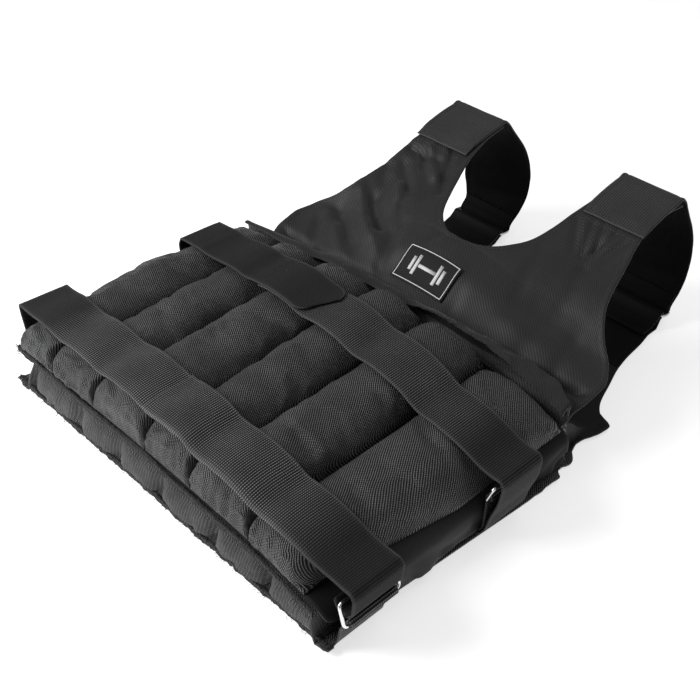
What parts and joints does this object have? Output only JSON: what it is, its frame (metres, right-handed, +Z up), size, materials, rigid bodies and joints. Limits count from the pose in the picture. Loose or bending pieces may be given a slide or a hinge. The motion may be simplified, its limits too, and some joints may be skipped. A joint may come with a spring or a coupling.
{
  "type": "weighted vest",
  "caption": "Padded black vest with long filled pockets, a raised bib with shoulder loops and two webbing belts that close over the front, lying on its back.",
  "frame": {"origin": "on the floor under the middle of the vest as it lies", "axes": "+X to the vest's left-to-right in the picture, +Y from the hem to the shoulders, +Z up"},
  "size_m": [0.4282, 0.5624, 0.1547],
  "materials": {
    "cloth": "black woven nylon with a faint sheen",
    "pocket_cloth": "dark grey-black twill, filled tight",
    "webbing": "black ribbed webbing",
    "label": "black woven patch with a pale edge",
    "steel": "bright nickel-plated wire"
  },
  "bodies": {
    "root": {"back_panel": "cloth", "back_pocket_1": "pocket_cloth", "back_pocket_2": "pocket_cloth", "back_pocket_3": "pocket_cloth", "back_pocket_4": "pocket_cloth", "back_pocket_5": "pocket_cloth", "back_pocket_6": "pocket_cloth", "front_panel": "cloth", "front_pocket_1": "pocket_cloth", "front_pocket_2": "pocket_cloth", "front_pocket_3": "pocket_cloth", "front_pocket_4": "pocket_cloth", "front_pocket_5": "pocket_cloth", "front_pocket_6": "pocket_cloth", "front_hem_binding": "webbing", "back_hem_binding": "webbing", "front_bib": "cloth", "front_lip": "cloth", "shoulder_strap_left": "cloth", "shoulder_strap_right": "cloth", "shoulder_ring_left": "steel", "shoulder_ring_right": "steel", "lower_belt_left": "webbing", "lower_belt_right": "webbing", "lower_belt_ring": "steel", "lower_ring_tab": "webbing", "upper_belt_left": "webbing", "upper_belt_right": "webbing", "upper_belt_ring": "steel", "upper_ring_tab": "webbing", "label_patch": "label"}
  },
  "joints": []
}
